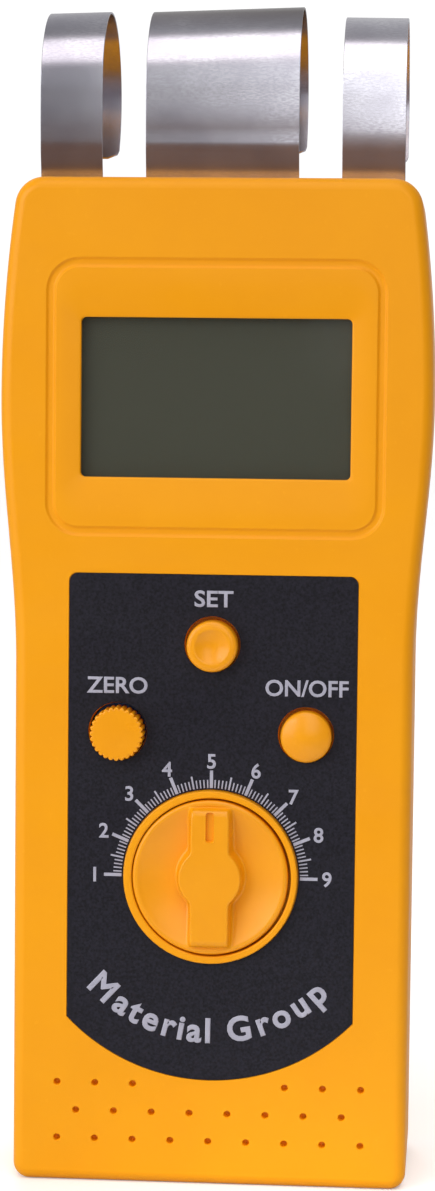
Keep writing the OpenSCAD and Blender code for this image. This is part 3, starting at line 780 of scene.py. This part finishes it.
def legends():
    """The words over the three controls."""
    height = 2.2
    words = (("SET", (0.1, 82.6), 5.4), ("ZERO", (-13.25, 70.4), 8.5), ("ON/OFF", (13.1, 70.4), 11.5))
    return [letters("legend", word, centre, height, width) for word, centre, width in words]


def printing():
    prints = {
        "print_scale": scale_marks(), "print_numerals": numerals(), "print_legends": legends(),
        "print_arc": arc_text("Material Group", 21.7, 3.35, 86),
    }
    for name, parts in prints.items():
        install(merge(name, parts), "case", "white_plastic", INK)


# ---- Controls ----

BAR_Y, RIM_Y, BOWL_Y, DIAL_R = -15.6, -14.4, -13.0, 10.85
BOWL_FLAT_R, BOWL_EDGE_R = 4.0, 10.1


def bowl_y(r):
    """Depth of the dial's hollow face at a radius."""
    share = min(1.0, max(0.0, (r - BOWL_FLAT_R) / (BOWL_EDGE_R - BOWL_FLAT_R)))
    return BOWL_Y + (RIM_Y + 0.05 - BOWL_Y) * share ** 1.6


def grip_ring(grow, grow_end, rise):
    """Outline of the grip bar with its round hub, moved out by grow and at its ends by grow_end.
    rise gives the depth of a point from its radius."""
    half, reach, hub = 2.72 + grow, 9.6 + grow_end, 4.4 + grow
    sharp = 22
    ring = []
    for i in range(360):
        a = math.radians(i)
        bar = ((abs(math.cos(a)) / half) ** sharp + (abs(math.sin(a)) / reach) ** sharp) ** (-1 / sharp)
        r = (bar ** sharp + hub ** sharp) ** (1 / sharp)
        ring.append((r * math.cos(a), rise(r), DIAL_Z + r * math.sin(a)))
    return ring


def dial_grip():
    """The dial: a hollow disc with a raised rim, a grip bar across it and a slot that points to the scale."""
    face = [(0, BOWL_Y)] + [(r, bowl_y(r)) for r in (2, 4, 5, 5.8, 6.6, 7.3, 8, 8.7, 9.3, 9.8)]
    face += [(10.05, -14.36), (10.2, RIM_Y), (10.45, RIM_Y), (10.7, -14.3), (DIAL_R, -14.1), (DIAL_R, -12.0),
             (10.5, -11.75)]
    knob = lathe("dial_grip", (0, DIAL_Z), face, 144)
    rings = [grip_ring(0.62, 0.28, lambda r: -12.3)]
    for grow, grow_end, lift in ((0.62, 0.28, 0.02), (0.42, 0.2, 0.08), (0.28, 0.12, 0.25)):
        rings.append(grip_ring(grow, grow_end, lambda r: bowl_y(r) - lift))
    for grow, grow_end, drop in ((0.04, -0.03, 0.5), (-0.02, -0.15, 0.3), (-0.08, -0.45, 0.12),
                                 (-0.2, -0.7, 0.03), (-0.34, -0.9, 0)):
        rings.append(grip_ring(grow, grow_end, lambda r: BAR_Y + drop))
    join(knob, [skin("bar", rings)])
    pointer_z, pointer_w, pointer_h = DIAL_Z + 7.225, 0.95, 3.95
    pointer = []
    for wider, longer, drop in ((0.35, 0.4, -0.5), (0.35, 0.4, -0.05), (0.1, 0.2, 0.08), (0, 0, 0.6)):
        w, h = pointer_w + wider, pointer_h + longer
        pointer.append(rounded_rect(w, h, 0.3, BAR_Y + drop, 0, pointer_z, 4))
    carve(knob, [skin("pointer", pointer)])
    shaft_r = 3.05
    carve(knob, [rod((0, DIAL_Z), shaft_r, -13.3, -11)])
    install(smooth(knob, 38), "dial", "control_yellow", YELLOW_CONTROL, "dial_knob")


def button(name, at, body, node, cap):
    """A push button: its cap's own profile, a straight side, and the flange that holds it in."""
    profile = cap + [(BUTTON_R, CONTROL_Y + 1.1), (BUTTON_R, FLANGE_Y[0]), (FLANGE_R, FLANGE_Y[0]),
                     (FLANGE_R, FLANGE_Y[1])]
    install(smooth(lathe(name, at, profile, 96)), body, "control_yellow", YELLOW_CONTROL, node)


def dished_cap():
    """Profile of a cap with a hollow face and a rounded edge."""
    ball_r, hollow_r = 4.6, 2.4
    floor_y = CONTROL_Y + ball_r - math.sqrt(ball_r ** 2 - hollow_r ** 2)
    steps = (0, 0.6, 1.2, 1.8, 2.2, hollow_r)
    hollow = [(r, floor_y + math.sqrt(ball_r ** 2 - r ** 2) - ball_r) for r in steps]
    edge = ((2.6, 0), (2.9, 0.02), (3.2, 0.09), (3.4, 0.22), (3.5, 0.4))
    return hollow + [(r, CONTROL_Y + drop) for r, drop in edge]


def domed_cap():
    """Profile of a cap with a gently domed face."""
    ball_r = 7.5
    steps = (0, 0.6, 1.2, 1.8, 2.4, 2.9, 3.25)
    dome = [(r, CONTROL_Y + ball_r - math.sqrt(ball_r ** 2 - r ** 2)) for r in steps]
    return dome + [(3.45, CONTROL_Y + 0.92)]


def buttons():
    button("set_cap", SET_AT, "set_key", "set_button", dished_cap())
    button("power_cap", POWER_AT, "power_key", "power_button", domed_cap())


def zero_grip():
    """Small knob with a flat face, scalloped all round."""
    knurls, per_knurl, depth, shaft_r = 28, 8, 0.3, 1.55
    count = knurls * per_knurl

    def ring(inset, y):
        points = []
        for i in range(count):
            a = 2 * math.pi * i / count
            scallop = depth * (1 - abs(math.cos(knurls * a / 2))) ** 1.2
            r = ZERO_R - inset - scallop
            points.append((ZERO_AT[0] + r * math.cos(a), y, ZERO_AT[1] + r * math.sin(a)))
        return points

    edge = ((0.3, 0), (0.12, 0.05), (0.02, 0.18), (0.0, 0.4))
    rings = [ring(inset, CONTROL_Y + drop) for inset, drop in edge]
    rings += [ring(0.0, -11.9), ring(0.2, -11.6)]
    knob = skin("zero_grip", rings)
    carve(knob, [rod(ZERO_AT, shaft_r, -13.4, -11)])
    install(smooth(knob, 42), "zero_control", "control_yellow", YELLOW_CONTROL, "zero_knob")


# ---- Electrodes ----

STRIP_T = 0.3
ROOT_Y, FRONT_MID_Y, HOOP_MID_Y, HOOP_R = -8.6, -10.05, 1.6, 11.8
HOOP_CURL = 44  # degrees that the loop goes on past its half turn
FRONT_Z = 146.2  # where a strip's gently bulged front begins
LEAN_FROM_Z, LEAN_OVER = 146.0, 8  # where a strip starts to lean to its slanted top, and over what height


def strip_path(top):
    """Middle line of a strip in (y, z), from its root to its free end, for a hoop with that top."""
    hoop_z = top - HOOP_R
    path = [(ROOT_Y, 136.4), (ROOT_Y, 138.4), (ROOT_Y - 0.05, 139.0), (ROOT_Y - 0.16, 139.6), (-9.05, 141.1),
            (-9.66, 143.9), (-9.80, 144.8), (-9.86, 145.4)]
    bulge_z, bulge_r, bulge_steps = hoop_z - 2, 60.0, 6
    for i in range(bulge_steps):
        z = FRONT_Z + (hoop_z - FRONT_Z) * i / bulge_steps
        path.append((FRONT_MID_Y + (z - bulge_z) ** 2 / (2 * bulge_r), z))
    hoop_steps, mid_r = 60, HOOP_R - STRIP_T / 2
    for i in range(hoop_steps + 1):
        a = math.radians(180 - (180 + HOOP_CURL) * i / hoop_steps)
        path.append((HOOP_MID_Y + mid_r * math.cos(a), hoop_z + mid_r * math.sin(a)))
    return path


def strip_ring(path, i, left, right, top_left, top_right, clip):
    """Cross-section of a strip at point i of its path: a flat bar with eased edges.
    clip narrows it at both sides. Above its root it leans so that its top runs from top_left to top_right."""
    a, b = path[max(i - 1, 0)], path[min(i + 1, len(path) - 1)]
    length = math.hypot(b[0] - a[0], b[1] - a[1])
    out = ((a[1] - b[1]) / length, (b[0] - a[0]) / length)
    y, z = path[i]
    lean = min(1.0, max(0.0, (z - LEAN_FROM_Z) / LEAN_OVER))
    ease = 0.07
    ring = []
    for x, t in [(left + clip, 1), (right - clip, 1), (right - clip, -1), (left + clip, -1)]:
        side = 1 if x > (left + right) / 2 else -1
        here = top_left + (top_right - top_left) * (x - left) / (right - left)
        drop = max(top_left, top_right) - here
        for dx, dt in ((-ease, 0), (0, -ease)) if side * t > 0 else ((0, -ease), (-ease, 0)):
            off = t * (STRIP_T / 2 + dt)
            ring.append((x + side * dx, y + out[0] * off, z + out[1] * off - drop * lean))
    return ring


def electrode(body, node, left, right, top_left, top_right, material):
    """One sprung strip, with round corners at its free end."""
    path = strip_path(max(top_left, top_right))
    corner = 1.5
    rings = []
    for i, point in enumerate(path):
        to_end = math.dist(point, path[-1])
        clip = corner - math.sqrt(corner ** 2 - (corner - to_end) ** 2) if to_end < corner else 0.0
        rings.append(strip_ring(path, i, left, right, top_left, top_right, clip))
    strip = skin(node + "_strip", rings)
    install(smooth(strip, 50), body, "spring_steel", material, node)


def strip_steel(body):
    """Steel of one strip. The middle one has painted shade, brown and dark, round its top."""
    # Painted reflection: the left strip's steel is darker and the right one's lighter, standing in for the
    # brighter surroundings mirrored on the right.
    tone = {"left_hoop": 199, "centre_hoop": 209, "right_hoop": 222}[body]
    light = linear(tone + 4, tone + 3, tone + 12)
    dark = linear(tone - 24, tone - 26, tone - 15)
    # Painted shade round the top of the middle strip only.
    painted_shade_z = 160.8 if body == "centre_hoop" else None
    return metal(body + "_steel", light, dark, (0.21, 0.26), (3, 1, 1), 0.2, 0.002, painted_shade_z)


def electrodes():
    for body, edges in HOOPS.items():
        electrode(body, body.replace("hoop", "electrode"), *edges, strip_steel(body))


# ---- Pieces that keep their frame shape ----


def carry_over():
    """Gives every frame node that stays in view its own material."""
    looks = {
        WINDOW: ["display_window"], LCD: ["lcd_glass"], FILM: ["lcd_reflector"], WHITE: ["lcd_frame"],
        RUBBER: ["lcd_contacts"], BOARD: ["main_board"], CHIP: ["meter_chip", "resistors"],
        CAN: ["crystal", "oscillator_coil", "battery_poles"], CAPACITOR: ["capacitors"],
        POT: ["dial_pot", "zero_pot"], STEEL: ["dial_shaft", "zero_shaft", "case_screws", "board_screws",
                                               "terminal_screws"],
        BLACK: ["set_plunger", "set_switch", "power_plunger", "power_switch", "electrode_carrier",
                "battery_snap"],
        BRASS: ["left_terminal", "centre_terminal", "right_terminal"], JACKET: ["battery"],
        FOIL: ["rear_label"], RED: ["positive_lead"], LEAD_BLACK: ["negative_lead"], FOAM: ["battery_pad"],
    }
    for material, names in looks.items():
        for name in names:
            nodes[name].data.materials.clear()
            nodes[name].data.materials.append(material)


# ---- Stage ----


def floor():
    """A wide floor, pale to the camera. In reflections it is grey near the object and dark brown in front."""
    half = 3000.0
    corners = [(-half, -half, 0), (half, -half, 0), (half, half, 0), (-half, half, 0)]
    base = new_piece("floor", corners, [(0, 1, 2, 3)])
    material, tree, shader, place = new_material("pale_floor")
    soft = spread(tree, noise(tree, place, 400.0), 0, 1)
    pale = blend_colours(tree, soft, (0.90, 0.90, 0.90, 1), (0.94, 0.94, 0.94, 1))
    axis = tree.nodes.new("ShaderNodeSeparateXYZ")
    tree.links.new(place, axis.inputs["Vector"])
    near = spread(tree, axis.outputs["Y"], 0, 1, -0.30, -0.18)
    around = blend_colours(tree, near, (0.13, 0.055, 0.022, 1), (0.62, 0.62, 0.62, 1))
    path = tree.nodes.new("ShaderNodeLightPath")
    colour = blend_colours(tree, path.outputs["Is Camera Ray"], around, pale)
    tree.links.new(colour, shader.inputs["Base Color"])
    tree.links.new(path.outputs["Is Camera Ray"], shader.inputs["Emission Strength"])
    shader.inputs["Emission Color"].default_value = (0.22, 0.22, 0.22, 1)
    shader.inputs["Roughness"].default_value = 0.9
    shader.inputs["Specular IOR Level"].default_value = 0.1
    base.data.materials.append(material)


def add_light(name, kind, energy, place, aim, glossy=True, **settings):
    """A lamp at a place, turned to its aim. settings are the lamp's own; without glossy it isn't mirrored."""
    light = bpy.data.lights.new(name, kind)
    light.energy = energy
    for key, value in settings.items():
        setattr(light, key, value)
    lamp = bpy.data.objects.new(name, light)
    bpy.context.scene.collection.objects.link(lamp)
    lamp.location = Vector(place) * MM
    lamp.rotation_euler = (Vector(aim) - Vector(place)).to_track_quat("-Z", "Y").to_euler()
    lamp.visible_camera = False
    lamp.visible_glossy = glossy


def sky():
    """White to the camera. As a light it is strongest behind the object and weak in front, as a room is."""
    world = bpy.data.worlds.new("studio")
    bpy.context.scene.world = world
    world.use_nodes = True
    tree = world.node_tree
    background = tree.nodes["Background"]
    place = tree.nodes.new("ShaderNodeTexCoord").outputs["Generated"]
    axis = tree.nodes.new("ShaderNodeSeparateXYZ")
    tree.links.new(place, axis.inputs["Vector"])
    back = spread(tree, axis.outputs["Y"], 0.17, 0.62, -0.6, 1.0)
    path = tree.nodes.new("ShaderNodeLightPath")
    seen = tree.nodes.new("ShaderNodeMix")
    tree.links.new(path.outputs["Is Camera Ray"], seen.inputs["Factor"])
    tree.links.new(back, seen.inputs[2])
    seen.inputs[3].default_value = 1.05
    tree.links.new(seen.outputs[0], background.inputs["Strength"])
    background.inputs["Color"].default_value = (1, 1, 1, 1)


def lights():
    """A large soft box at the left, a smaller one at the right and a glint box high at the left.
    A spot lights the floor in front, and broad light comes from above and from behind."""
    foot, middle, hoops = (0, 0, 0), (0, 0, 80), (0, 0, 155)
    add_light("left_box", "AREA", 5.9, (-700, -620, 260), middle,
              shape="RECTANGLE", size=0.8, size_y=0.9)
    add_light("right_box", "AREA", 1.7, (147, -835, 455), hoops,
              shape="RECTANGLE", size=0.41, size_y=0.74)
    add_light("glint_box", "AREA", 0.5, (-430, -640, 480), middle,
              shape="SQUARE", size=0.25)
    add_light("floor_spot", "SPOT", 15.0, (160, -520, 420), (25, -88, 0), glossy=False,
              spot_size=math.radians(10), spot_blend=0.6, shadow_soft_size=0.02)
    add_light("sky_sun", "SUN", 0.85, (0, -450, 890), foot,
              angle=math.radians(42), color=(1.0, 0.94, 0.93))
    add_light("back_wash", "SUN", 1.7, (0, 900, 500), foot, glossy=False,
              angle=math.radians(50))


CAMERA_PLACE = (33.6, -424.8, 116.7)
CAMERA_TURN = (85.34, -0.598, 4.639)  # degrees: tilt from straight down, roll, turn to the left
CAMERA_LENS = 90.68


def camera():
    """The camera stands right of the middle, level with the display, and looks a little down."""
    lens = bpy.data.cameras.new("camera")
    lens.lens = CAMERA_LENS
    lens.sensor_width = 36.0
    lens.clip_start = 0.01
    view = bpy.data.objects.new("camera", lens)
    bpy.context.scene.collection.objects.link(view)
    view.location = Vector(CAMERA_PLACE) * MM
    view.rotation_euler = [math.radians(a) for a in CAMERA_TURN]
    bpy.context.scene.camera = view


front_shell()
rear_shell()
battery_door()
control_sheet()
printing()
dial_grip()
buttons()
zero_grip()
electrodes()
carry_over()
floor()
sky()
lights()
camera()
bpy.context.scene.view_settings.view_transform = "Standard"
